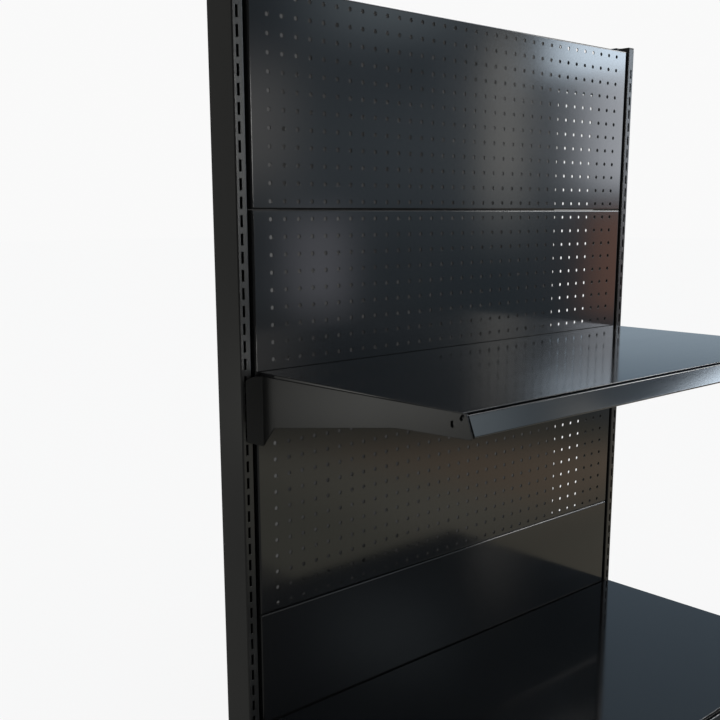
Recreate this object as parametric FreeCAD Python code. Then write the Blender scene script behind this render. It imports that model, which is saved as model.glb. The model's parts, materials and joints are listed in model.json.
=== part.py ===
import FreeCAD, Part
import math
import os

os.makedirs("parts", exist_ok=True)
Vector = FreeCAD.Vector

# One single-sided bay of gondola shelving, in millimetres. It is drawn from the front plane of the back
# panels (Y = 0, the shelves towards -Y) with the bay's middle at X = 0 and the floor at Z = 0. Left-hand
# pieces are drawn and right-hand ones mirrored. At the end everything is shifted in Y so that the origin
# lies under the middle.

# Bay
bay_width = 925.0           # slot row to slot row
panel_pitch = 300.0         # height of one back panel with its seam
panel_seam = 0.4
panel_floor_gap = 40.0
panel_names = ("back_panel_plain", "back_panel_lower", "back_panel_middle", "back_panel_top")
panel_sheet = 1.0
panel_bend = 3.0            # outer radius of the folded edges
panel_seat = 4.5            # how far a panel's end reaches over the upright's inner face
panel_hook_inset = 45.0     # hook slots from the panel's top and bottom edges

# Upright
upright_width = 30.0
upright_depth = 60.0
upright_wall = 2.0
upright_bend = 2.5
upright_above_panels = 5.0
strip_width = 18.5          # slotted front strip beside the panel rebate
rebate_depth = 20.0
cap_thickness = 3.0
cap_spigot = 12.0
plug_flange = 3.0
plug_spigot = 15.0
insert_clearance = 0.3

# Slots and hooks
slot_inset = 8.0            # slot row from the upright's outer face
slot_pitch = 25.0
slot_height = 16.0
slot_width = 4.0
first_slot = 49.0           # centre of the lowest slot above the floor
top_slot_margin = 15.0
hook_lift = 7.5             # upward travel that frees a hook
hook_clearance = 0.5
hook_nose = 4.0             # thickness of the part that hangs behind the wall
hook_chamfer = 1.5
hook_slots_below = (0, 1, 3)    # which slots below the first one a hooked piece uses
panel_hook_clearance = 1.1      # each side of a panel hook in its slot

# Decks, shared by the shelf and the base
deck_sheet = 1.0
deck_height = 24.0
deck_lip = 13.0
deck_bend = 1.0
deck_rear_gap = 3.0
stiffener_crown = 44.0
stiffener_slope = 8.0
stiffener_brim = 15.0
stiffener_rise = 4.0        # middle of the crown above the deck's lower edge
stiffener_clearance = 0.5

# Shelf and its brackets
shelf_slot = 26             # counted from the lowest slot, taken by the brackets' top hooks
shelf_over_slot = 12.0      # deck surface above the centre of that slot
shelf_depth = 398.0         # panel plane to the deck's front fold
bracket_plate = 2.0
bracket_bend = 1.5
joggle_offset = 20.4        # slot row to the middle of the bracket plate
joggle_start = 2.0
joggle_end = 12.0
bracket_gap = 0.3           # rear edge of the bracket from the upright
bracket_tail = 107.0        # rear height
bracket_tail_run = 12.0     # the tail's lowest point, from the panel plane
bracket_tail_rise = 8.0     # its lower edge rises by this towards the rear
bracket_heel = 76.0         # height where the taper starts
bracket_heel_run = 39.0
bracket_taper_run = 290.0   # where the taper ends
bracket_waist_margin = 8.0  # plate below the ledge at the end of the taper
bracket_top_chamfer = 6.0
bracket_rear_drop = 5.0     # the top edge falls by this towards the rear
bracket_nose_margin = 2.0   # plate below the price rail at the front end
bracket_corner = 4.0        # radius of the nose's lower corner and of the heel
bracket_knee = 300.0        # and where the taper ends
ledge_width = 14.0
ledge_thickness = 3.0
ledge_start = 30.0
ledge_end_margin = 12.0
side_clearance = 0.5        # deck to bracket plate
oval_length = 8.0
oval_width = 5.0
oval_setback = 14.2         # from the deck's front fold
oval_drop = 15.0
slanted_length = 8.5
slanted_width = 4.5
slanted_setback = -0.7
slanted_drop = 5.2
slanted_angle = -55.0       # from the horizontal, rising towards the front
bracket_front_setback = 1.5     # front edge of the bracket behind the price rail's face

# Price rail
rail_sheet = 1.0
rail_bend = 1.0
rail_height = 27.5
rail_head = 9.0             # reach of the slanted face at its top
rail_foot = 20.0            # and at its bottom
rail_lip = 1.5              # top edge of the face, turned in
rail_crest_drop = 1.4       # top of the face below the deck surface
rail_leg_drop = 4.0         # top of the fixing leg below the deck surface

# Base
base_depth = 448.0
base_deck_inset = 1.0       # deck side from the slot row
leg_top_slot = 3            # counted from the lowest slot, taken by the legs' top hooks
leg_over_slot = 14.0        # leg top above the centre of that slot
leg_plate = 2.0
leg_bend = 1.5
leg_flange = 25.0           # from the slot row inwards
leg_length = 420.0
kick_sheet = 1.0
kick_bend = 1.0
kick_return = 12.0
kick_floor_gap = 14.0
kick_deck_gap = 12.0
kick_leg_gap = 0.3
kick_return_gap = 2.0       # returns stop short of the legs
kick_hook_plate = 2.0
kick_hook_heights = (60.0, 100.0)

# Levelling feet
foot_height = 11.0          # floor to the underside of the leg or plug
foot_inset = 30.0           # from the leg's front end
pad_radius = 15.0
pad_thickness = 9.0
socket_floor = 4.0
screw_radius = 5.0
screw_top = 46.0
screw_hex = 17.0            # across flats
screw_stop_gap = 0.5
thread_clearance = 0.05
hole_clearance = 0.5
nut_height = 8.0

# Tie channels behind the panels
tie_height = 60.0
tie_depth = 18.0
tie_sheet = 1.5
tie_bend = 1.0
tie_setback = 32.0          # front of the channel behind the panel plane
tie_low_offset = 60.0       # middle of the low tie above the panels' lower edge
tie_high_offset = 55.0      # middle of the high tie below the uprights' tops
tie_hook_spacing = 28.0

cut_past = 1.0              # how far a cut runs past the faces that it opens

# Places that follow from these
slot_row = bay_width / 2
outer_face = slot_row + slot_inset
inner_face = outer_face - upright_width
panel_width = 2 * (inner_face + panel_seat)
panel_height = panel_pitch - panel_seam
upright_bottom = foot_height + plug_flange
upright_top = panel_floor_gap + len(panel_names) * panel_pitch + upright_above_panels
slot_count = int((upright_top - top_slot_margin - slot_height / 2 - first_slot) / slot_pitch) + 1
shelf_top = first_slot + shelf_slot * slot_pitch + shelf_over_slot
leg_top = first_slot + leg_top_slot * slot_pitch + leg_over_slot
base_top = leg_top + deck_height
plate_middle = slot_row - joggle_offset
shelf_width = 2 * (plate_middle - bracket_plate / 2 - side_clearance)
base_width = 2 * (slot_row - base_deck_inset)
leg_foot_x = slot_row - (leg_flange - leg_plate / 2) / 2
leg_foot_y = foot_inset - leg_length
upright_foot_x = outer_face - upright_width / 2
upright_foot_y = (rebate_depth + upright_depth) / 2
tie_middles = {"tie_low": panel_floor_gap + tie_low_offset, "tie_high": upright_top - tie_high_offset}
tie_web = tie_setback + tie_sheet / 2


def rounded_wire(points, radii):
    """Closed outline in the XY plane through the points, each corner an arc of its own radius."""
    edges = []
    ends = []
    count = len(points)
    for i in range(count):
        corner = Vector(*points[i])
        to_last = (Vector(*points[i - 1]) - corner).normalize()
        to_next = (Vector(*points[(i + 1) % count]) - corner).normalize()
        if radii[i] <= 0:
            ends.append((corner, corner))
            continue
        half = to_last.getAngle(to_next) / 2
        reach = radii[i] / math.tan(half)
        inward = (to_last + to_next).normalize()
        middle = corner + inward * (radii[i] / math.sin(half) - radii[i])
        first = corner + to_last * reach
        last = corner + to_next * reach
        edges.append(Part.Arc(first, middle, last).toShape())
        ends.append((first, last))
    for i in range(count):
        edges.append(Part.makeLine(ends[i - 1][1], ends[i][0]))
    return Part.Wire(Part.sortEdges(edges)[0])


def outline(points, radius=0.0):
    """Face inside an outline whose corners all have the same radius."""
    return Part.Face(rounded_wire(points, [radius] * len(points)))


def beside(points, distance):
    """An open line of points moved sideways, to its left by a positive distance, with mitred corners."""
    moved = []
    for i, point in enumerate(points):
        sides = []
        for start, end in ((i - 1, i), (i, i + 1)):
            if start >= 0 and end < len(points):
                run = (Vector(*points[end]) - Vector(*points[start])).normalize()
                sides.append(Vector(-run.y, run.x))
        mitre = (sides[0] + sides[-1]) / (1 + sides[0].dot(sides[-1]))
        place = Vector(*point) + mitre * distance
        moved.append((place.x, place.y))
    return moved


def folded(points, sheet, bend):
    """Section of a bent sheet whose middle follows the points. The radius is the bends' inner one."""
    left = beside(points, sheet / 2)
    right = beside(points, -sheet / 2)
    left_radii = [0.0]
    right_radii = [0.0]
    for i in range(1, len(points) - 1):
        before = Vector(*points[i]) - Vector(*points[i - 1])
        after = Vector(*points[i + 1]) - Vector(*points[i])
        turns_left = before.cross(after).z > 0
        left_radii.append(bend if turns_left else bend + sheet)
        right_radii.append(bend + sheet if turns_left else bend)
    left_radii.append(0.0)
    right_radii.append(0.0)
    return Part.Face(rounded_wire(left + right[::-1], left_radii + right_radii[::-1]))


def along_x(face, start, end):
    """A section drawn as (Y, Z), drawn out along X."""
    solid = face.extrude(Vector(0, 0, end - start))
    solid.rotate(Vector(0, 0, 0), Vector(1, 1, 1), 120)
    solid.translate(Vector(start, 0, 0))
    return solid


def along_y(face, start, end):
    """A section drawn as (X, Z), drawn out towards -Y from start to end."""
    solid = face.extrude(Vector(0, 0, start - end))
    solid.rotate(Vector(0, 0, 0), Vector(1, 0, 0), 90)
    solid.translate(Vector(0, start, 0))
    return solid


def along_z(face, start, end):
    """A section drawn as (X, Y), drawn out along Z."""
    solid = face.extrude(Vector(0, 0, end - start))
    solid.translate(Vector(0, 0, start))
    return solid


def block(x, y, z):
    """Box between pairs of limits."""
    return Part.makeBox(x[1] - x[0], y[1] - y[0], z[1] - z[0], Vector(x[0], y[0], z[0]))


def joined(pieces):
    """Welded or folded from one piece: a single solid without seams."""
    return pieces[0].multiFuse(pieces[1:]).removeSplitter()


def mirrored(shape):
    return shape.mirror(Vector(0, 0, 0), Vector(1, 0, 0))


def hexagon(across_flats, x, y):
    """Hexagon with two flats square to Y."""
    corner = across_flats / math.sqrt(3)
    points = []
    for k in range(6):
        turn = math.radians(60 * k)
        points.append((x + corner * math.cos(turn), y + corner * math.sin(turn)))
    return outline(points)


def slot_middle(number):
    """Height of a bracket slot's centre, counted from the lowest slot."""
    return first_slot + number * slot_pitch


def hook(x, plate, wall_face, wall, slot_centre, root):
    """Hook that passes through a slotted wall and hangs behind it. It rests on the slot's lower edge and
    comes free when lifted by hook_lift. The root reaches forward into the plate that it belongs to."""
    low = slot_centre - slot_height / 2
    high = low + slot_height - hook_lift - hook_clearance
    tip = low - hook_lift + hook_clearance
    behind = wall_face + wall + hook_clearance
    end = behind + hook_nose
    points = [(wall_face - root, low), (behind, low), (behind, tip), (end - hook_chamfer, tip)]
    points += [(end, tip + hook_chamfer), (end, high), (wall_face - root, high)]
    return along_x(outline(points), x - plate / 2, x + plate / 2)


def tray(width, depth, height, sheet, lip, bend):
    """Folded sheet tray with its plain face up at Z = 0, from Y = 0 to its depth. The sides turn down, and
    where there is a lip they turn in again below. Only wide bends are rounded inside as well."""
    body = block((-width / 2, width / 2), (0, depth), (-height, 0))
    top_edges = [edge for edge in body.Edges if edge.BoundBox.ZMin > -sheet / 2]
    body = body.makeFillet(bend, top_edges)
    inner = (-width / 2 + sheet, width / 2 - sheet)
    floor = -height + sheet if lip else -height
    hollow = block(inner, (sheet, depth - sheet), (floor, -sheet))
    if bend > 2 * sheet:
        inner_edges = [edge for edge in hollow.Edges if edge.BoundBox.ZMin > -sheet - sheet / 2]
        hollow = hollow.makeFillet(bend - sheet, inner_edges)
    body = body.cut(hollow)
    if lip:
        mouth = block((-width / 2 + lip, width / 2 - lip), (lip, depth - lip), (-height, -height + sheet))
        body = body.cut(mouth)
    return body


def upright_section(inset):
    """Corners of the left upright's section: slotted strip in front, rebate for the panel ends beside it."""
    x = -outer_face
    points = [(inset, inset), (strip_width - inset, inset), (strip_width - inset, rebate_depth + inset)]
    points += [(upright_width - inset, rebate_depth + inset), (upright_width - inset, upright_depth - inset)]
    points.append((inset, upright_depth - inset))
    return [(x + across, behind) for across, behind in points]


def panel_hook_slots():
    """Heights of the slots in the rebate that carry the panels."""
    heights = []
    for k in range(len(panel_names)):
        low = panel_floor_gap + k * panel_pitch
        heights += [low + panel_hook_inset, low + panel_height - panel_hook_inset]
    return heights


def tie_hook_slots(middle):
    """Heights of the slots in the upright's inner wall that hold one end of a tie."""
    return (middle - tie_hook_spacing / 2, middle + tie_hook_spacing / 2)


def upright():
    """Closed roll-formed column with its slot row, panel slots in the rebate and tie slots inside."""
    tube = along_z(outline(upright_section(0), upright_bend), upright_bottom, upright_top)
    cuts = [along_z(outline(upright_section(upright_wall)), upright_bottom, upright_top)]
    slot_x = (-slot_row - slot_width / 2, -slot_row + slot_width / 2)
    for number in range(slot_count):
        low = slot_middle(number) - slot_height / 2
        cuts.append(block(slot_x, (-cut_past, upright_wall + cut_past), (low, low + slot_height)))
    hook_x = -panel_width / 2 + panel_sheet / 2
    reach = panel_sheet / 2 + panel_hook_clearance
    for height in panel_hook_slots():
        low = height - slot_height / 2
        wall = (rebate_depth - cut_past, rebate_depth + upright_wall + cut_past)
        cuts.append(block((hook_x - reach, hook_x + reach), wall, (low, low + slot_height)))
    inner_wall = (-inner_face - upright_wall - cut_past, -inner_face + cut_past)
    web = (tie_web - slot_width / 2, tie_web + slot_width / 2)
    for middle in tie_middles.values():
        for height in tie_hook_slots(middle):
            low = height - slot_height / 2
            cuts.append(block(inner_wall, web, (low, low + slot_height)))
    return tube.cut(Part.makeCompound(cuts))


def upright_cap():
    """Moulded cap on the column's top, with a spigot inside the tube."""
    plate = along_z(outline(upright_section(0), upright_bend), upright_top, upright_top + cap_thickness)
    spigot_section = outline(upright_section(upright_wall + insert_clearance))
    return joined([plate, along_z(spigot_section, upright_top - cap_spigot, upright_top)])


def upright_foot_plug():
    """Insert in the column's lower end, threaded for the levelling screw."""
    flange = along_z(outline(upright_section(0), upright_bend), foot_height, upright_bottom)
    margin = upright_wall + insert_clearance
    x = (-outer_face + margin, -inner_face - margin)
    y = (rebate_depth + margin, upright_depth - margin)
    spigot = block(x, y, (upright_bottom, upright_bottom + plug_spigot))
    start = Vector(-upright_foot_x, upright_foot_y, foot_height)
    thread = Part.makeCylinder(screw_radius + thread_clearance, plug_flange + plug_spigot, start)
    return joined([flange, spigot]).cut(thread)


def back_panel(number):
    """Folded sheet panel that hangs by two hooks at each end in the uprights' rebates."""
    low = panel_floor_gap + number * panel_pitch
    sheet = tray(panel_width, panel_height, rebate_depth, panel_sheet, 0, panel_bend)
    sheet.rotate(Vector(0, 0, 0), Vector(1, 0, 0), 90)
    sheet.translate(Vector(0, 0, low))
    pieces = [sheet]
    hook_x = panel_width / 2 - panel_sheet / 2
    for x in (-hook_x, hook_x):
        for height in panel_hook_slots()[2 * number:2 * number + 2]:
            pieces.append(hook(x, panel_sheet, rebate_depth, upright_wall, height, hook_nose))
    return joined(pieces)


def tie(middle):
    """Channel, open to the rear, whose web ends in hooks that hang in the uprights' inner walls."""
    rear = tie_setback + tie_depth
    low = middle - tie_height / 2 + tie_sheet / 2
    high = middle + tie_height / 2 - tie_sheet / 2
    points = [(rear, high), (tie_web, high), (tie_web, low), (rear, low)]
    pieces = [along_x(folded(points, tie_sheet, tie_bend), -inner_face, inner_face)]
    for height in tie_hook_slots(middle):
        end = hook(0, tie_sheet, 0, upright_wall, height, hook_nose)
        end.rotate(Vector(0, 0, 0), Vector(0, 0, 1), 90)
        end.translate(Vector(-inner_face, tie_web, 0))
        pieces += [end, mirrored(end)]
    return joined(pieces)


def slotted_hole(length, width, y, z, angle):
    """Round-ended hole through the bracket plate, turned by an angle from the horizontal."""
    half = length / 2 - width / 2
    radius = width / 2
    upper = Part.makeLine(Vector(-half, radius), Vector(half, radius))
    lower = Part.makeLine(Vector(half, -radius), Vector(-half, -radius))
    right = Part.Arc(Vector(half, radius), Vector(half + radius, 0), Vector(half, -radius)).toShape()
    left = Part.Arc(Vector(-half, -radius), Vector(-half - radius, 0), Vector(-half, radius)).toShape()
    face = Part.Face(Part.Wire([upper, right, lower, left]))
    face.rotate(Vector(0, 0, 0), Vector(0, 0, 1), angle)
    face.translate(Vector(y, z))
    return along_x(face, -plate_middle - bracket_plate, -plate_middle + bracket_plate)


def bracket():
    """Shelf bracket cut from plate: tapered, joggled at the rear from the slot row to the deck's side, with
    hooks, a ledge welded inside for the deck, and two small slots near its front end."""
    reach = upright_wall + hook_clearance + hook_nose
    waist = deck_height + ledge_thickness + bracket_waist_margin
    top = shelf_top
    front_top = -(shelf_depth + rail_head - bracket_front_setback)
    front_low = -(shelf_depth + rail_foot - bracket_front_setback)
    rear_top = top - bracket_rear_drop
    points = [(-bracket_gap, rear_top - bracket_top_chamfer), (-bracket_gap - bracket_top_chamfer, rear_top)]
    points += [(front_top, top), (front_low, top - rail_height - bracket_nose_margin)]
    points += [(-bracket_taper_run, top - waist), (-bracket_heel_run, top - bracket_heel)]
    points.append((-bracket_tail_run, top - bracket_tail))
    points.append((-bracket_gap, top - bracket_tail + bracket_tail_rise))
    radii = [0, 0, 0, bracket_corner, bracket_knee, bracket_corner, 0, 0]
    face = Part.Face(rounded_wire(points, radii))
    side = [along_x(face, -outer_face, -inner_face + joggle_offset)]
    for below in hook_slots_below:
        centre = slot_middle(shelf_slot - below)
        side.append(hook(-slot_row, bracket_plate, 0, upright_wall, centre, joggle_start))
    line = [(-slot_row, reach), (-slot_row, -joggle_start)]
    line += [(-plate_middle, -joggle_end), (-plate_middle, front_low)]
    low = top - bracket_tail - slot_height
    plate = along_z(folded(line, bracket_plate, bracket_bend), low, top).common(joined(side))
    ledge_top = top - deck_height
    ledge_x = -plate_middle + bracket_plate / 2
    ledge_y = (-(shelf_depth - ledge_end_margin), -ledge_start)
    ledge = block((ledge_x, ledge_x + ledge_width), ledge_y, (ledge_top - ledge_thickness, ledge_top))
    holes = [slotted_hole(oval_length, oval_width, oval_setback - shelf_depth, top - oval_drop, 90)]
    slanted_y = slanted_setback - shelf_depth
    holes.append(slotted_hole(slanted_length, slanted_width, slanted_y, top - slanted_drop, slanted_angle))
    return joined([plate, ledge]).cut(Part.makeCompound(holes))


def deck(width, depth, top):
    """Shelf tray with its lips turned in below, just clear of the back panels."""
    body = tray(width, depth - deck_rear_gap, deck_height, deck_sheet, deck_lip, deck_bend)
    body.translate(Vector(0, -depth, top))
    return body


def stiffener(width, depth, top):
    """Hat channel spot-welded under a deck, along its middle."""
    middle = -(depth + deck_rear_gap) / 2
    high = top - deck_sheet - deck_sheet / 2
    low = top - deck_height + stiffener_rise
    crown = stiffener_crown / 2
    foot = crown + stiffener_slope
    brim = foot + stiffener_brim
    points = [(middle - brim, high), (middle - foot, high), (middle - crown, low)]
    points += [(middle + crown, low), (middle + foot, high), (middle + brim, high)]
    half = width / 2 - deck_sheet - stiffener_clearance
    return along_x(folded(points, deck_sheet, deck_bend), -half, half)


def price_rail(width, depth, top):
    """Folded strip along a deck's front: a leg on the deck's fold, a floor, and a face slanted upwards."""
    leg = -depth - rail_sheet / 2
    floor = top - rail_height + rail_sheet / 2
    crest = top - rail_crest_drop - rail_sheet / 2
    face_top = -depth - rail_head + rail_sheet / 2
    face_low = -depth - rail_foot + rail_sheet
    points = [(leg, top - rail_leg_drop), (leg, floor), (face_low, floor), (face_top, crest)]
    points.append((face_top + rail_lip, crest))
    return along_x(folded(points, rail_sheet, rail_bend), -width / 2, width / 2)


def kick_slots():
    """Places of the kick plate's hooks: middle of the leg's flange, and heights."""
    return [(-leg_foot_x, height) for height in kick_hook_heights]


def base_leg():
    """Channel leg under the base deck, hooked into the upright. Its closed front carries the kick plate."""
    web = -slot_row
    inward = -slot_row + leg_flange
    high = leg_top - leg_plate / 2
    low = foot_height + leg_plate / 2
    points = [(inward, high), (web, high), (web, low), (inward, low)]
    pieces = [along_y(folded(points, leg_plate, leg_bend), 0, -leg_length)]
    pieces.append(block((web, inward), (-leg_length, -leg_length + leg_plate), (low, high)))
    for below in hook_slots_below:
        pieces.append(hook(web, leg_plate, 0, upright_wall, slot_middle(leg_top_slot - below), hook_nose))
    cuts = []
    front = (-leg_length - cut_past, -leg_length + leg_plate + cut_past)
    for x, height in kick_slots():
        slot_z = (height - slot_height / 2, height + slot_height / 2)
        cuts.append(block((x - slot_width / 2, x + slot_width / 2), front, slot_z))
    start = Vector(-leg_foot_x, leg_foot_y, foot_height - cut_past)
    cuts.append(Part.makeCylinder(screw_radius + hole_clearance, leg_plate + 2 * cut_past, start))
    return joined(pieces).cut(Part.makeCompound(cuts))


def leg_nuts():
    """Weld nuts inside the legs for the front levelling screws."""
    low = foot_height + leg_plate
    nut = along_z(hexagon(screw_hex, -leg_foot_x, leg_foot_y), low, low + nut_height)
    start = Vector(-leg_foot_x, leg_foot_y, low)
    nut = nut.cut(Part.makeCylinder(screw_radius + thread_clearance, nut_height, start))
    return Part.makeCompound([nut, mirrored(nut)])


def kick_plate():
    """Plinth in front of the legs: a sheet with returns between them, hung by hooks in their fronts."""
    front = -leg_length - kick_leg_gap - kick_sheet / 2
    rear = front + kick_return
    high = leg_top - kick_deck_gap - kick_sheet / 2
    low = kick_floor_gap + kick_sheet / 2
    points = [(rear, high), (front, high), (front, low), (rear, low)]
    between_legs = slot_row - leg_flange - kick_return_gap
    pieces = [along_x(folded(points, kick_sheet, kick_bend), -between_legs, between_legs)]
    thickness = (front - kick_sheet / 2, front + kick_sheet / 2)
    bend_height = kick_bend + kick_sheet / 2
    end = block((-base_width / 2, -between_legs), thickness, (low + bend_height, high - bend_height))
    pieces += [end, mirrored(end)]
    for x, height in kick_slots():
        clip = hook(x, kick_hook_plate, -leg_length, leg_plate, height, kick_leg_gap + kick_sheet / 2)
        pieces += [clip, mirrored(clip)]
    return joined(pieces)


def foot_pad(x, y):
    """Moulded round glide with a hexagon socket that holds the screw's head."""
    pad = Part.makeCylinder(pad_radius, pad_thickness, Vector(x, y, 0))
    return pad.cut(along_z(hexagon(screw_hex, x, y), socket_floor, pad_thickness))


def foot_screw(x, y):
    """Levelling screw that stands on its hexagon head, turned fully in at rest."""
    head = along_z(hexagon(screw_hex, x, y), socket_floor, foot_height - screw_stop_gap)
    shank = Part.makeCylinder(screw_radius, screw_top - socket_floor, Vector(x, y, socket_floor))
    return joined([head, shank])


nodes = {}
for name, left_hand in (("upright", upright()), ("upright_cap", upright_cap()), ("bracket", bracket()),
                        ("upright_foot_plug", upright_foot_plug()), ("base_leg", base_leg())):
    nodes[name + "_left"] = left_hand
    nodes[name + "_right"] = mirrored(left_hand)
for number, name in enumerate(panel_names):
    nodes[name] = back_panel(number)
for name, middle in tie_middles.items():
    nodes[name] = tie(middle)
nodes["leg_nuts"] = leg_nuts()
nodes["kick_plate"] = kick_plate()
for name, width, depth, top in (("shelf", shelf_width, shelf_depth, shelf_top),
                                ("base", base_width, base_depth, base_top)):
    nodes[name + "_deck"] = deck(width, depth, top)
    nodes[name + "_stiffener"] = stiffener(width, depth, top)
    nodes[name + "_price_rail"] = price_rail(width, depth, top)
for place, x, y in (("front", leg_foot_x, leg_foot_y), ("rear", upright_foot_x, upright_foot_y)):
    for side, sign in (("left", -1), ("right", 1)):
        nodes["foot_pad_" + place + "_" + side] = foot_pad(sign * x, y)
        nodes["foot_screw_" + place + "_" + side] = foot_screw(sign * x, y)

whole = Part.makeCompound(list(nodes.values())).BoundBox
for name, shape in nodes.items():
    shape.translate(Vector(0, -whole.Center.y, 0))
    shape.exportStep("parts/" + name + ".step")
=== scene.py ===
import json
import math

import bmesh
import bpy
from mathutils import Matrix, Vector

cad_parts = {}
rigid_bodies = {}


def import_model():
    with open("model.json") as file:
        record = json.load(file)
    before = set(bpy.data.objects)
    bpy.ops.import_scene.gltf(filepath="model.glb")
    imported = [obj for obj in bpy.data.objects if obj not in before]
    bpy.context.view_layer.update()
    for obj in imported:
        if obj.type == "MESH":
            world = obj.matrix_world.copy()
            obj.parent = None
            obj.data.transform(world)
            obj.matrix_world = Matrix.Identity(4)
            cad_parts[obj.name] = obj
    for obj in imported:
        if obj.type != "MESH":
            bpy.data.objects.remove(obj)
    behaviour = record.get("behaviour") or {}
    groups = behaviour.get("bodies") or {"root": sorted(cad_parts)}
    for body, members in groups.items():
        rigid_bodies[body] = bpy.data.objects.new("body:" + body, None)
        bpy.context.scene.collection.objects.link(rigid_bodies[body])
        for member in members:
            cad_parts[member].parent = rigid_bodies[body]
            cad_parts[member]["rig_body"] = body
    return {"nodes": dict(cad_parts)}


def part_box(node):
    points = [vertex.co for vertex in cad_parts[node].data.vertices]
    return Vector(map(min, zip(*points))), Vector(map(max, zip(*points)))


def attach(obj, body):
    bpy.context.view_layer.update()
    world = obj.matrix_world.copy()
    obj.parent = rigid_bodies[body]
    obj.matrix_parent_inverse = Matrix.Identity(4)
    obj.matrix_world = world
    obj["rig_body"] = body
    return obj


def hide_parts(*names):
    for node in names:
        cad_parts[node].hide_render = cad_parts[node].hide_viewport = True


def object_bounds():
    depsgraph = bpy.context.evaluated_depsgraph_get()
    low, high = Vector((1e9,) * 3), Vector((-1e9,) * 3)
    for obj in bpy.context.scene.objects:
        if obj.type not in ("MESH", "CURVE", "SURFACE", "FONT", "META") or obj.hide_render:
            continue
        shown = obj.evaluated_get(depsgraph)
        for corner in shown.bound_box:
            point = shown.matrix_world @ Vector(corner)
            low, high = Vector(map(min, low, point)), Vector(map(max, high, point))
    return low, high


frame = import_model()
cad_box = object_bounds()


# Uprights: two roll-formed steel columns with a row of punched hook slots in the front strip, and a rebate
# that takes the panels' ends. They are welded shut, punched, and powder coated black after that, so every
# edge carries a small round of paint.
class Shade:
    """One output of a material's node. Sums on it add Math nodes, and node() adds any other node."""

    def __init__(self, tree, socket=None):
        self.tree = tree
        self.socket = socket

    def node(self, kind, settings=None, inputs=None, output=0):
        made = self.tree.nodes.new(kind)
        for name, value in (settings or {}).items():
            if name == "stops":
                for stop, (place, level) in zip(made.color_ramp.elements, value):
                    stop.position = place
                    stop.color = (level, level, level, 1)
            else:
                setattr(made, name, value)
        for name, value in (inputs or {}).items():
            if isinstance(value, Shade):
                self.tree.links.new(value.socket, made.inputs[name])
            else:
                made.inputs[name].default_value = value
        return Shade(self.tree, made.outputs[output] if made.outputs else None)

    def maths(self, operation, first, second):
        return self.node("ShaderNodeMath", {"operation": operation}, {0: first, 1: second})

    def __add__(self, other):
        return self.maths("ADD", self, other)

    def __sub__(self, other):
        return self.maths("SUBTRACT", self, other)

    def __rsub__(self, other):
        return self.maths("SUBTRACT", other, self)

    def __mul__(self, other):
        return self.maths("MULTIPLY", self, other)

    def __abs__(self):
        return self.node("ShaderNodeMath", {"operation": "ABSOLUTE"}, {0: self})

    __radd__ = __add__
    __rmul__ = __mul__


def blank_finish(name):
    """A new material with its shader and the piece's own coordinates in metres."""
    material = bpy.data.materials.new(name)
    material.use_nodes = True
    tree = material.node_tree
    shader = tree.nodes["Principled BSDF"]
    return material, shader, Shade(tree).node("ShaderNodeTexCoord", output="Object")


def noise(place, scale, detail=2.0):
    return place.node("ShaderNodeTexNoise", {}, {"Vector": place, "Scale": scale, "Detail": detail})


def colours_between(place, share, dark, light):
    return place.node("ShaderNodeMix", {"data_type": "RGBA"}, {0: share, 6: (*dark, 1), 7: (*light, 1)}, 2)


def along_axis(place, axis):
    return place.node("ShaderNodeSeparateXYZ", {}, {0: place}, axis)


def lay_on(shader, colour, roughness, relief, strength, depth):
    """Gives a finish its colour, its roughness and its fine relief."""
    bump = relief.node("ShaderNodeBump", {}, {"Strength": strength, "Distance": depth, "Height": relief})
    for name, value in (("Base Color", colour), ("Roughness", roughness), ("Normal", bump)):
        relief.tree.links.new(value.socket, shader.inputs[name])


def powder_coat(name, colour, roughness, wipe_axis=None):
    """Powder coat: orange peel, slow drifts of gloss, wipe marks, and a little dust on what lies flat."""
    peel_scale = 620.0
    peel_depth = 0.00003
    peel_strength = 0.5
    drift_scale = 5.0
    drift_amount = 0.08
    tint_amount = 0.25
    wipe_scale = 60.0
    wipe_scale_along = 2.5
    wipe_amount = 0.05
    dust_scale = 420.0
    dust_from, dust_full = 0.66, 0.76
    dust_amount = 0.22
    dust_colour = (0.10, 0.095, 0.085)
    flat_from = 0.7
    material, shader, place = blank_finish(name)
    drift = noise(place, drift_scale, 3.0)
    gloss = roughness + (drift - 0.5) * drift_amount
    if wipe_axis is not None:
        stretch = [wipe_scale, wipe_scale, wipe_scale]
        stretch[wipe_axis] = wipe_scale_along
        along = place.node("ShaderNodeMapping", {}, {"Vector": place, "Scale": stretch})
        gloss = gloss + (noise(along, 1.0, 3.0) - 0.5) * wipe_amount
    up = along_axis(place.node("ShaderNodeNewGeometry", output="Normal"), "Z")
    specks = noise(place, dust_scale, 3.0)
    specks = specks.node("ShaderNodeValToRGB", {"stops": ((dust_from, 0.0), (dust_full, 1.0))}, {0: specks})
    flat = up.maths("GREATER_THAN", up, flat_from)
    light = tuple((1 + tint_amount) * part for part in colour)
    dark = tuple((1 - tint_amount) * part for part in colour)
    paint = colours_between(place, drift, dark, light)
    dusty = place.node("ShaderNodeMix", {"data_type": "RGBA"},
                       {0: specks * flat * dust_amount, 6: paint, 7: (*dust_colour, 1)}, 2)
    lay_on(shader, dusty, gloss, noise(place, peel_scale, 1.0), peel_strength, peel_depth)
    return material


def take_up(piece):
    """Makes one piece the selected and active one."""
    bpy.ops.object.select_all(action="DESELECT")
    piece.select_set(True)
    bpy.context.view_layer.objects.active = piece


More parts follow.
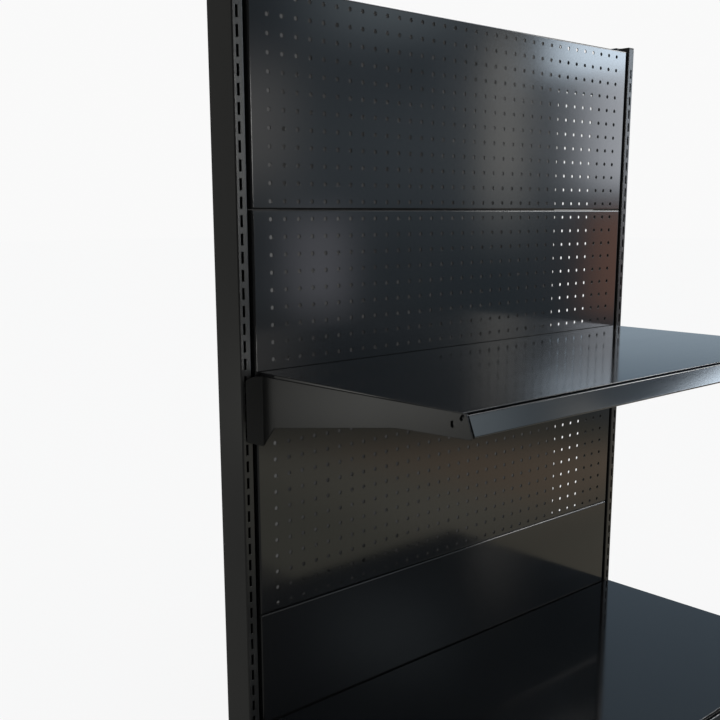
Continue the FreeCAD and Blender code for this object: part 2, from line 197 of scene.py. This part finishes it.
def own_form(node):
    """A copy of a node's mesh to work on, its facets joined into whole faces."""
    same_place = 0.00001
    same_plane = math.radians(0.5)
    piece = bpy.data.objects.new(node + "_finished", frame["nodes"][node].data.copy())
    bpy.context.scene.collection.objects.link(piece)
    take_up(piece)
    bpy.ops.object.mode_set(mode="EDIT")
    bpy.ops.mesh.select_all(action="SELECT")
    bpy.ops.mesh.customdata_custom_splitnormals_clear()
    bpy.ops.mesh.remove_doubles(threshold=same_place)
    bpy.ops.mesh.dissolve_limited(angle_limit=same_plane)
    bpy.ops.object.mode_set(mode="OBJECT")
    return piece


def apply_modifiers(piece):
    take_up(piece)
    for modifier in list(piece.modifiers):
        bpy.ops.object.modifier_apply(modifier=modifier.name)


def part_folds(piece, fold):
    """Keeps the folds apart in the shading where they meet: the slanted edges in the corners become sharp."""
    askew_from = 0.02
    low, high = Vector(piece.bound_box[0]), Vector(piece.bound_box[6])
    for edge in piece.data.edges:
        start, end = (piece.data.vertices[number].co for number in edge.vertices)
        run = end - start
        middle = (start + end) / 2
        close = sum(min(middle[axis] - low[axis], high[axis] - middle[axis]) < fold for axis in range(3))
        if close > 1 and min(abs(part) for part in run) > askew_from * run.length:
            edge.use_edge_sharp = True


def round_edges(piece, width, fold=0.0):
    """Rounds every sharp edge, and keeps flat faces flat beside the rounds and the folds."""
    sharp_from = math.radians(32)
    smooth_below = math.radians(40)
    flat_weight = 90
    rounding = piece.modifiers.new("rounded edges", "BEVEL")
    rounding.limit_method = "ANGLE"
    rounding.angle_limit = sharp_from
    rounding.width = width
    rounding.segments = 2
    rounding.use_clamp_overlap = False
    apply_modifiers(piece)
    bpy.ops.object.shade_smooth_by_angle(angle=smooth_below)
    if fold:
        part_folds(piece, fold)
    flat = piece.modifiers.new("flat faces", "WEIGHTED_NORMAL")
    flat.mode = "FACE_AREA"
    flat.weight = flat_weight
    flat.keep_sharp = True
    apply_modifiers(piece)


def fit(piece, node, finish):
    """Puts a finished piece in its node's place: same body, with its finish as its only material."""
    piece.data.materials.clear()
    piece.data.materials.append(finish)
    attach(piece, frame["nodes"][node]["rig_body"])
    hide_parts(node)


upright_paint = powder_coat("upright_paint", (0.0085, 0.0085, 0.008), roughness=0.30)
upright_edge = 0.0004
for node in ("upright_left", "upright_right"):
    column = own_form(node)
    round_edges(column, upright_edge)
    fit(column, node, upright_paint)


# Foot plugs: injection-moulded inserts pressed into the columns' lower ends, threaded for the levelling
# screws. Black nylon with the fine sparked grain of the mould.
def moulded_plastic(name, colour, roughness):
    grain_scale = 1900.0
    grain_depth = 0.00004
    grain_strength = 0.6
    grain_gloss = 0.2
    blush_scale = 30.0
    blush_dark, blush_light = 0.8, 1.3
    material, shader, place = blank_finish(name)
    grain = noise(place, grain_scale)
    dark = tuple(blush_dark * part for part in colour)
    light = tuple(blush_light * part for part in colour)
    flow = colours_between(place, noise(place, blush_scale), dark, light)
    lay_on(shader, flow, roughness + (grain - 0.5) * grain_gloss, grain, grain_strength, grain_depth)
    return material


plug_plastic = moulded_plastic("plug_plastic", (0.016, 0.016, 0.017), roughness=0.5)
plug_edge = 0.0004
for node in ("upright_foot_plug_left", "upright_foot_plug_right"):
    plug = own_form(node)
    round_edges(plug, plug_edge)
    fit(plug, node, plug_plastic)


# Levelling feet: a zinc-plated hexagon screw with a rolled thread, standing with its head in the socket of a
# round moulded glide. The thread is turned as one helix round a core.
pad_plastic = moulded_plastic("pad_plastic", (0.02, 0.02, 0.021), roughness=0.55)
pad_edge = 0.0009
screw_edge = 0.0005
thread_pitch = 0.0015
thread_crest = 0.005
thread_root = 0.00425
thread_steps = 28
core_overlap = 0.0001
core_chamfer = 0.0008
shank_margin = 0.0003
same_height = 0.00001


def zinc_plate(name):
    spangle_scale = 260.0
    spangle_depth = 0.00003
    spangle_strength = 0.3
    brightest_gloss = 0.26
    spangle_gloss = 0.16
    material, shader, place = blank_finish(name)
    spangle = noise(place, spangle_scale, 3.0)
    colour = colours_between(place, spangle, (0.42, 0.43, 0.45), (0.66, 0.66, 0.63))
    roughness = brightest_gloss + spangle * spangle_gloss
    lay_on(shader, colour, roughness, spangle, spangle_strength, spangle_depth)
    shader.inputs["Metallic"].default_value = 1.0
    return material


zinc_steel = zinc_plate("zinc_steel")


def threaded_shank(x, y, low, high):
    """Helix of thread round a core, from the head's top to the screw's end."""
    bpy.ops.object.select_all(action="DESELECT")
    bpy.ops.mesh.primitive_plane_add(size=0.001, location=(0, 0, 0))
    flank = bpy.context.object
    bpy.ops.object.mode_set(mode="EDIT")
    bpy.ops.mesh.delete(type="ONLY_FACE")
    mesh = bmesh.from_edit_mesh(flank.data)
    mesh.verts.ensure_lookup_table()
    while len(mesh.verts) > 3:
        mesh.verts.remove(mesh.verts[3])
        mesh.verts.ensure_lookup_table()
    for edge in list(mesh.edges):
        mesh.edges.remove(edge)
    for vert, (out, up) in zip(mesh.verts, ((thread_root, 0), (thread_crest, 0.5), (thread_root, 1))):
        vert.co = (out, 0, up * thread_pitch)
    mesh.edges.new((mesh.verts[0], mesh.verts[1]))
    mesh.edges.new((mesh.verts[1], mesh.verts[2]))
    bmesh.update_edit_mesh(flank.data)
    bpy.ops.object.mode_set(mode="OBJECT")
    helix = flank.modifiers.new("thread", "SCREW")
    helix.axis = "Z"
    helix.screw_offset = thread_pitch
    helix.iterations = int((high - low) / thread_pitch) - 1
    helix.steps = helix.render_steps = thread_steps
    helix.use_merge_vertices = True
    apply_modifiers(flank)
    bpy.ops.object.mode_set(mode="EDIT")
    bpy.ops.mesh.select_all(action="SELECT")
    bpy.ops.mesh.normals_make_consistent(inside=False)
    bpy.ops.transform.translate(value=(x, y, low))
    bpy.ops.mesh.select_all(action="DESELECT")
    core_top = high - thread_pitch / 2
    bpy.ops.mesh.primitive_cylinder_add(vertices=thread_steps, radius=thread_root + core_overlap,
                                        depth=core_top - low, location=(x, y, (core_top + low) / 2))
    mesh = bmesh.from_edit_mesh(flank.data)
    for edge in mesh.edges:
        edge.select = all(abs(vert.co.z - core_top) < same_height and vert.select for vert in edge.verts)
    bmesh.update_edit_mesh(flank.data)
    bpy.ops.mesh.bevel(offset=core_chamfer, segments=2, affect="EDGES")
    bpy.ops.object.mode_set(mode="OBJECT")
    return flank


for place_name in ("front_left", "front_right", "rear_left", "rear_right"):
    pad_node = "foot_pad_" + place_name
    pad = own_form(pad_node)
    round_edges(pad, pad_edge)
    fit(pad, pad_node, pad_plastic)
    screw_node = "foot_screw_" + place_name
    low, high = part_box(screw_node)
    screw = own_form(screw_node)
    bpy.ops.object.mode_set(mode="EDIT")
    bpy.ops.mesh.select_all(action="DESELECT")
    mesh = bmesh.from_edit_mesh(screw.data)
    head_top = sorted({round(vert.co.z, 5) for vert in mesh.verts})[1]
    shank_radius = thread_crest + shank_margin
    middle = (low + high) / 2
    for vert in mesh.verts:
        near_axis = math.hypot(vert.co.x - middle.x, vert.co.y - middle.y) < shank_radius
        vert.select = near_axis and vert.co.z > head_top - same_height
    mesh.select_flush(True)
    bmesh.update_edit_mesh(screw.data)
    bpy.ops.mesh.delete(type="VERT")
    bpy.ops.mesh.select_all(action="SELECT")
    bpy.ops.mesh.edge_face_add()
    bpy.ops.object.mode_set(mode="OBJECT")
    round_edges(screw, screw_edge)
    shank = threaded_shank(middle.x, middle.y, head_top, high.z)
    take_up(shank)
    screw.select_set(True)
    bpy.context.view_layer.objects.active = screw
    bpy.ops.object.join()
    fit(screw, screw_node, zinc_steel)


# Base legs: channel legs pressed from 2 mm sheet, hooked into the lowest slots of the columns, with a weld
# nut inside each for the front foot. Coated like the columns.
black = (0.007, 0.007, 0.0072)
base_paint = powder_coat("base_paint", black, roughness=0.34)
leg_edge = 0.0004
nut_edge = 0.0005
for node in ("base_leg_left", "base_leg_right"):
    leg = own_form(node)
    round_edges(leg, leg_edge)
    fit(leg, node, base_paint)
nuts = own_form("leg_nuts")
round_edges(nuts, nut_edge)
fit(nuts, "leg_nuts", zinc_steel)


# Tie channels: two channels folded from 1.5 mm sheet, hooked between the columns low and high behind the
# panels to hold the bay square. Coated like the columns, a little duller.
tie_paint = powder_coat("tie_paint", black, roughness=0.36)
sheet_edge = 0.0003
for node in ("tie_low", "tie_high"):
    tie = own_form(node)
    round_edges(tie, sheet_edge)
    fit(tie, node, tie_paint)


# Back panels: sheets of 1 mm steel folded back on all four sides and hung by hooks in the columns' rebates.
# The lowest is plain. The others are punched with round holes on a 25 mm square grid, each with a short rim
# drawn out behind, and coated after that.
panel_paint = powder_coat("panel_paint", black, roughness=0.11)
fold_radius = 0.0035
hole_pitch = 0.025
hole_radius = 0.0031
hole_columns = 34
hole_rows = 12
hole_sides = 12
first_row = 0.0115
panel_sheet = 0.001
rim_depth = 0.0006
rim_wall = 0.0004
rim_overlap = 0.0001
punch_front, punch_rear = -0.0015, 0.0025


def hole_grid(radius, near, far, low, open_ended):
    """A cylinder at every hole of a panel, from one depth behind the panel's front to another."""
    bpy.ops.object.select_all(action="DESELECT")
    start = (-hole_pitch * (hole_columns - 1) / 2, low.y + (near + far) / 2, low.z + first_row)
    bpy.ops.mesh.primitive_cylinder_add(vertices=hole_sides, radius=radius, depth=far - near, location=start,
                                        rotation=(math.radians(90), 0, 0),
                                        end_fill_type="NOTHING" if open_ended else "NGON")
    grid = bpy.context.object
    bpy.ops.object.transform_apply(location=True, rotation=True, scale=True)
    for axis, count in ((0, hole_columns), (2, hole_rows)):
        row = grid.modifiers.new("row", "ARRAY")
        row.count = count
        row.use_relative_offset = False
        row.use_constant_offset = True
        step = [0.0, 0.0, 0.0]
        step[axis] = hole_pitch
        row.constant_offset_displace = step
    return grid


def punch(panel, low):
    """Cuts the grid of round holes through the panel's face."""
    punches = hole_grid(hole_radius, punch_front, punch_rear, low, False)
    apply_modifiers(punches)
    cut = panel.modifiers.new("holes", "BOOLEAN")
    cut.operation = "DIFFERENCE"
    cut.solver = "EXACT"
    cut.object = punches
    apply_modifiers(panel)
    bpy.data.objects.remove(punches)


def turn_rims(panel, low):
    """Adds the short collars that the punch draws out behind the sheet."""
    rims = hole_grid(hole_radius, panel_sheet - rim_overlap, panel_sheet + rim_depth, low, True)
    wall = rims.modifiers.new("wall", "SOLIDIFY")
    wall.thickness = rim_wall
    wall.offset = 1.0
    apply_modifiers(rims)
    take_up(rims)
    panel.select_set(True)
    bpy.context.view_layer.objects.active = panel
    bpy.ops.object.join()


for node in ("back_panel_plain", "back_panel_lower", "back_panel_middle", "back_panel_top"):
    panel = own_form(node)
    if node != "back_panel_plain":
        punch(panel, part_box(node)[0])
    round_edges(panel, sheet_edge, fold=fold_radius)
    if node != "back_panel_plain":
        turn_rims(panel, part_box(node)[0])
    fit(panel, node, panel_paint)


# Caps: lids moulded in black nylon and pushed into the columns' open tops. Their edges are rounder than the
# steel's, and their grain is the foot plugs'.
cap_plastic = moulded_plastic("cap_plastic", (0.018, 0.018, 0.019), roughness=0.45)
cap_edge = 0.0008
for node in ("upright_cap_left", "upright_cap_right"):
    cap = own_form(node)
    round_edges(cap, cap_edge)
    fit(cap, node, cap_plastic)


# Base: a folded kick plate hung on the fronts of the legs, and the deck that lies on them, a folded tray with
# a hat channel welded under it and a price rail along its front. The deck and the rail are the glossiest.
deck_paint = powder_coat("deck_paint", black, roughness=0.09, wipe_axis=0)
stiffener_paint = powder_coat("stiffener_paint", black, roughness=0.36)
rail_paint = powder_coat("rail_paint", black, roughness=0.10, wipe_axis=0)
kick = own_form("kick_plate")
round_edges(kick, sheet_edge)
fit(kick, "kick_plate", base_paint)
deck_finishes = (("deck", deck_paint), ("stiffener", stiffener_paint), ("price_rail", rail_paint))
for kind, finish in deck_finishes:
    piece = own_form("base_" + kind)
    round_edges(piece, sheet_edge, fold=fold_radius)
    fit(piece, "base_" + kind, finish)


# Shelf brackets: plates cut and joggled from 2 mm steel, hooked into the columns, each with a ledge welded
# inside that carries the deck.
bracket_paint = powder_coat("bracket_paint", (0.0055, 0.0055, 0.0052), roughness=0.25)
bracket_edge = 0.0005
for node in ("bracket_left", "bracket_right"):
    bracket = own_form(node)
    round_edges(bracket, bracket_edge)
    fit(bracket, node, bracket_paint)


# Shelf: the same folded tray, hat channel and price rail as the base, laid between the brackets on their
# ledges and lifted off by hand.
for kind, finish in deck_finishes:
    piece = own_form("shelf_" + kind)
    round_edges(piece, sheet_edge, fold=fold_radius)
    fit(piece, "shelf_" + kind, finish)


# Studio: a pale floor under a white surround. A glowing drum of cloth, a glowing warm rug, soft boxes and
# lamps show only in the paint's reflections, where the drum and the rug are painted reflections of a room.
# Two glowing dark cards behind the panels, and one inside the top panel, paint the shade seen through most
# holes, with patches of painted light.
def stage_finish(name):
    """A new empty material and the start of its node tree, for things that aren't part of the bay."""
    material = bpy.data.materials.new(name)
    material.use_nodes = True
    material.node_tree.nodes.clear()
    return material, Shade(material.node_tree)


def set_stage(piece, name, material, camera):
    """Puts up a thing that shows in reflections, and to the camera if so said, without light or shadow."""
    piece.name = name
    piece.data.materials.append(material)
    piece.visible_camera = camera
    piece.visible_diffuse = False
    piece.visible_transmission = camera
    piece.visible_shadow = False


def seen_directly(start):
    """One for rays from the camera, from gloss or through glass, nought for light that falls on things."""
    seen = start.node("ShaderNodeLightPath", output="Is Camera Ray")
    for kind in ("Is Glossy Ray", "Is Transmission Ray"):
        other = start.node("ShaderNodeLightPath", output=kind)
        seen = start.maths("MAXIMUM", seen, other)
    return seen


floor_size = 60
floor_colour = (0.82, 0.82, 0.81)
floor_white = 0.86
floor_material, start = stage_finish("pale_floor")
matt = start.node("ShaderNodeBsdfDiffuse", {}, {"Color": (*floor_colour, 1)})
white = start.node("ShaderNodeEmission", {}, {"Color": (1, 1, 1, 1), "Strength": 1.0})
surface = start.node("ShaderNodeMixShader", {}, {0: seen_directly(start) * floor_white, 1: matt, 2: white})
start.node("ShaderNodeOutputMaterial", {}, {"Surface": surface})
bpy.ops.object.select_all(action="DESELECT")
bpy.ops.mesh.primitive_plane_add(size=floor_size, location=(0, 0, 0))
floor = bpy.context.object
floor.name = "floor"
floor.data.materials.append(floor_material)

sky_colour = (0.95, 0.97, 1.0)
sky_strength = 0.75
background_white = (0.95, 0.95, 0.95)
world = bpy.data.worlds.new("surround")
bpy.context.scene.world = world
world.use_nodes = True
world.node_tree.nodes.clear()
start = Shade(world.node_tree)
soft = start.node("ShaderNodeBackground", {}, {"Color": (*sky_colour, 1), "Strength": sky_strength})
white = start.node("ShaderNodeBackground", {}, {"Color": (*background_white, 1), "Strength": 1.0})
surface = start.node("ShaderNodeMixShader", {}, {0: seen_directly(start), 1: soft, 2: white})
start.node("ShaderNodeOutputWorld", {}, {"Surface": surface})
bpy.context.scene.view_settings.view_transform = "Standard"

drum_radius = 13.0
drum_height = 10.2
drum_above_floor = 0.0005
drum_sides = 64
lid_upwards = 0.9
# The drum glows with its own colour and lights nothing: painted reflections of a room, seen only in the
# gloss.
drum_glow_material, start = stage_finish("glowing_drum")
place = start.node("ShaderNodeTexCoord", output="Object")
across = along_axis(place, "X")
along = along_axis(place, "Y")
above = along_axis(place, "Z")


def fade(value, start_at, end_at):
    """Nought below the start, one past the end, and smooth between them."""
    return value.node("ShaderNodeMapRange", {"interpolation_type": "SMOOTHSTEP"},
                      {"Value": value, "From Min": start_at, "From Max": end_at})


def over(below, share, colour):
    return below.node("ShaderNodeMix", {"data_type": "RGBA"}, {0: share, 6: below, 7: (*colour, 1)}, 2)


# Painted reflections of a room: the drum glows blue, palest at eye height, grey on the left and nearly black
# at the front left.
cloth = colours_between(start, fade(above, -0.2, 1.7), (0.20, 0.27, 0.33), (0.42, 0.52, 0.61))
cloth = over(cloth, fade(above, 2.0, 3.2), (0.24, 0.32, 0.40))
cloth = over(cloth, fade(across, 7.4, 0.0), (0.20, 0.20, 0.19))
cloth = over(cloth, fade(across * -0.6 + along * -0.8, 3.5, 5.2), (0.03, 0.03, 0.03))
surface = start.node("ShaderNodeEmission", {}, {"Color": cloth, "Strength": 1.0})
start.node("ShaderNodeOutputMaterial", {}, {"Surface": surface})
bpy.ops.object.select_all(action="DESELECT")
bpy.ops.mesh.primitive_cylinder_add(vertices=drum_sides, radius=drum_radius, depth=drum_height,
                                    location=(0, 0, drum_height / 2 + drum_above_floor))
drum = bpy.context.object
bpy.ops.object.transform_apply(location=True, rotation=True, scale=True)
bpy.ops.object.mode_set(mode="EDIT")
bpy.ops.mesh.select_all(action="DESELECT")
mesh = bmesh.from_edit_mesh(drum.data)
for face in mesh.faces:
    face.select = face.normal.z > lid_upwards
bmesh.update_edit_mesh(drum.data)
bpy.ops.mesh.delete(type="FACE")
bpy.ops.object.mode_set(mode="OBJECT")
set_stage(drum, "drum", drum_glow_material, camera=False)

rug_size = 2.2
rug_middle = (1.32, -1.12, 0.001)
# The rug glows and lights nothing: a painted reflection of a warm floor, seen only in the gloss.
rug_glow_material, start = stage_finish("glowing_rug")
place = start.node("ShaderNodeTexCoord", output="Object")
across = along_axis(place, "X")
along = along_axis(place, "Y")
# Painted reflection of a warm floor: the rug glows pale, tan to the right, browner near the bay and dark at
# the front right corner.
rug_glow = colours_between(start, fade(across, 0.55, 0.9), (0.53, 0.52, 0.43), (0.69, 0.66, 0.55))
rug_glow = over(rug_glow, fade(across, 0.95, 1.45), (0.79, 0.61, 0.45))
rug_glow = over(rug_glow, fade(across * 0.655 + along * -0.756, 1.75, 2.35), (0.31, 0.30, 0.25))
rug_glow = over(rug_glow, fade(along, -0.75, -0.3), (0.45, 0.42, 0.34))
surface = start.node("ShaderNodeEmission", {}, {"Color": rug_glow, "Strength": 1.0})
start.node("ShaderNodeOutputMaterial", {}, {"Surface": surface})
bpy.ops.object.select_all(action="DESELECT")
bpy.ops.mesh.primitive_plane_add(size=rug_size, location=rug_middle)
rug = bpy.context.object
bpy.ops.object.transform_apply(location=True, rotation=True, scale=True)
set_stage(rug, "glowing_rug", rug_glow_material, camera=False)

# The cards glow and light nothing: painted shade where the holes look through, with patches of painted light.
hole_shade_material, start = stage_finish("painted_hole_shade")
place = start.node("ShaderNodeTexCoord", output="Object")
across = along_axis(place, "X")
above = along_axis(place, "Z")
# Painted shade seen through the holes, a glowing mottled grey, with painted light where it is lighter: at the
# left end, at the upper right, at the left of the middle panel and low on the right. It is darker at the
# foot. One band across it is lighter and one is darker.
mottle_scale = 45.0
mottle = noise(place, mottle_scale, 1.0)
tone = start.node("ShaderNodeValToRGB", {"stops": ((0.35, 0.023), (0.75, 0.046))}, {0: mottle})
tone = tone + fade(across, -0.352, -0.362) * 0.04
tone = tone + fade(across, -0.05, 0.2) * fade(above, 0.94, 1.03) * 0.05
tone = tone + fade(across, -0.16, -0.27) * fade(above, 0.76, 0.82) * fade(above, 0.96, 0.92) * 0.018
tone = tone + fade(across, -0.2, 0.15) * fade(above, 0.6, 0.5) * 0.02
tone = tone + fade(above, 0.40, 0.35) * -0.02
band_core = 0.6
for middle, reach, more in ((0.924, 0.014, 0.016), (0.732, 0.034, -0.006)):
    tone = tone + fade(abs(above - middle), reach, band_core * reach) * more
dark = start.node("ShaderNodeEmission", {}, {"Color": tone, "Strength": 1.0})
clear = start.node("ShaderNodeBsdfTransparent")
behind = start.node("ShaderNodeNewGeometry", output="Backfacing")
surface = start.node("ShaderNodeMixShader", {}, {0: behind, 1: dark, 2: clear})
start.node("ShaderNodeOutputMaterial", {}, {"Surface": surface})
card_gap = 0.001
card_depth = 0.006
behind_bay = cad_box[1][1] + card_gap
inside_top_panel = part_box("back_panel_top")[0].y + card_depth
left = -0.44
for name, right, low, high, depth in (("low_card", 0.3425, 0.03, 0.7, behind_bay),
                                      ("high_card", 0.3165, 0.7, 1.15, behind_bay),
                                      ("top_card", 0.2446, 1.13, 1.237, inside_top_panel)):
    bpy.ops.object.select_all(action="DESELECT")
    bpy.ops.mesh.primitive_plane_add(size=1, rotation=(math.radians(90), 0, 0))
    card = bpy.context.object
    card.scale = (right - left, high - low, 1)
    card.location = ((left + right) / 2, depth, (low + high) / 2)
    bpy.ops.object.transform_apply(location=True, rotation=True, scale=True)
    set_stage(card, name, hole_shade_material, camera=True)


def towards(seen_from, turn, rise, away):
    """A place at a distance from the spot that mirrors it, in degrees from -Y towards +X and above the
    horizon, and the turn that faces the spot."""
    turn, rise = math.radians(turn), math.radians(rise)
    way = Vector((math.cos(rise) * math.sin(turn), -math.cos(rise) * math.cos(turn), math.sin(rise)))
    return Vector(seen_from) + way * away, way.to_track_quat("Z", "Y").to_euler()


def soft_box(name, seen_from, turn, rise, away, width, height, soft, brightness, colour):
    """Lit cloth whose brightness fades out towards its edges, over a share of the way from its middle."""
    material, start = stage_finish(name)
    spot = start.node("ShaderNodeTexCoord", output="UV")
    shares = []
    for axis in ("X", "Y"):
        off = abs(along_axis(spot, axis) - 0.5)
        shares.append(fade(off, 0.5, 0.5 - 0.5 * soft))
    clear = start.node("ShaderNodeBsdfTransparent")
    lit = start.node("ShaderNodeEmission", {}, {"Color": (*colour, 1), "Strength": brightness})
    surface = start.node("ShaderNodeMixShader", {}, {0: shares[0] * shares[1], 1: clear, 2: lit})
    start.node("ShaderNodeOutputMaterial", {}, {"Surface": surface})
    middle, turned = towards(seen_from, turn, rise, away)
    bpy.ops.object.select_all(action="DESELECT")
    bpy.ops.mesh.primitive_plane_add(size=1, location=middle, rotation=turned)
    box = bpy.context.object
    box.scale = (width, height, 1)
    bpy.ops.object.transform_apply(location=True, rotation=True, scale=True)
    set_stage(box, name, material, camera=False)


soft_box("right_box", (0.3, 0.2, 1.0), turn=62.15, rise=6.1, away=11.0,
         width=3.82, height=2.43, soft=0.4, brightness=5.0, colour=(0.88, 0.92, 1.0))
soft_box("right_box_top", (0.37, 0.2, 0.82), turn=57.6, rise=10.9, away=10.5,
         width=2.58, height=0.66, soft=0.35, brightness=12.0, colour=(0.74, 0.87, 1.0))
soft_box("right_warm", (0.37, 0.2, 0.84), turn=57.75, rise=-2.75, away=5.0,
         width=0.743, height=0.92, soft=0.42, brightness=1.1, colour=(1.0, 0.55, 0.42))
soft_box("left_patch", (-0.33, 0.2, 0.85), turn=39.2, rise=-2.8, away=5.0,
         width=0.66, height=1.0, soft=0.8, brightness=1.45, colour=(0.87, 0.89, 1.0))
soft_box("middle_strip", (0.1, 0.2, 1.04), turn=49.6, rise=5.3, away=5.0,
         width=0.454, height=1.9, soft=0.8, brightness=1.95, colour=(1.0, 0.99, 0.95))
soft_box("left_box", (-0.4, 0.2, 1.04), turn=34.5, rise=5.0, away=5.0,
         width=1.05, height=1.23, soft=0.85, brightness=1.1, colour=(1.0, 1.0, 1.0))
soft_box("front_top", (-0.3, -0.2, 0.7), turn=47.6, rise=19.0, away=5.0,
         width=1.5, height=1.05, soft=0.9, brightness=1.65, colour=(0.76, 0.90, 1.0))
soft_box("side_low", (-0.443, -0.05, 0.69), turn=-134.0, rise=-9.8, away=2.0,
         width=1.05, height=0.38, soft=0.9, brightness=2.0, colour=(1.0, 1.0, 0.95))


def lamp(name, seen_from, turn, rise, away, width, height, brightness, colour):
    """Rectangular lamp for the bright lines along the folds. Its brightness is that of its face."""
    middle, turned = towards(seen_from, turn, rise, away)
    bpy.ops.object.light_add(type="AREA", location=middle, rotation=turned)
    light = bpy.context.object
    light.name = name
    light.data.shape = "RECTANGLE"
    light.data.size = width
    light.data.size_y = height
    light.data.color = colour
    light.data.energy = brightness * math.pi * width * height
    light.visible_camera = False
    light.visible_diffuse = False


lamp("front_lamp", (-0.44, 0.2, 0.95), turn=23, rise=5, away=5.0,
     width=0.87, height=0.7, brightness=20.0, colour=(1.0, 1.0, 0.97))
lamp("right_lamp", (0.2, 0.2, 0.64), turn=67, rise=31.5, away=4.0,
     width=1.3, height=0.6, brightness=13.0, colour=(1.0, 0.98, 0.95))
lamp("top_lamp", (-0.1, -0.1, 0.71), turn=123, rise=50, away=2.0,
     width=0.9, height=0.5, brightness=4.0, colour=(0.95, 0.95, 1.0))

camera_down = 11.07
camera_right = 42.38
camera_data = bpy.data.cameras.new("camera")
camera = bpy.data.objects.new("camera", camera_data)
bpy.context.scene.collection.objects.link(camera)
camera.location = (-1.2622, -0.9427, 0.9378)
camera.rotation_euler = (math.radians(90 - camera_down), 0, math.radians(-camera_right))
camera_data.sensor_width = 36
camera_data.lens = 49.33
camera_data.shift_x = -0.0185
camera_data.shift_y = 0.0613
bpy.context.scene.camera = camera
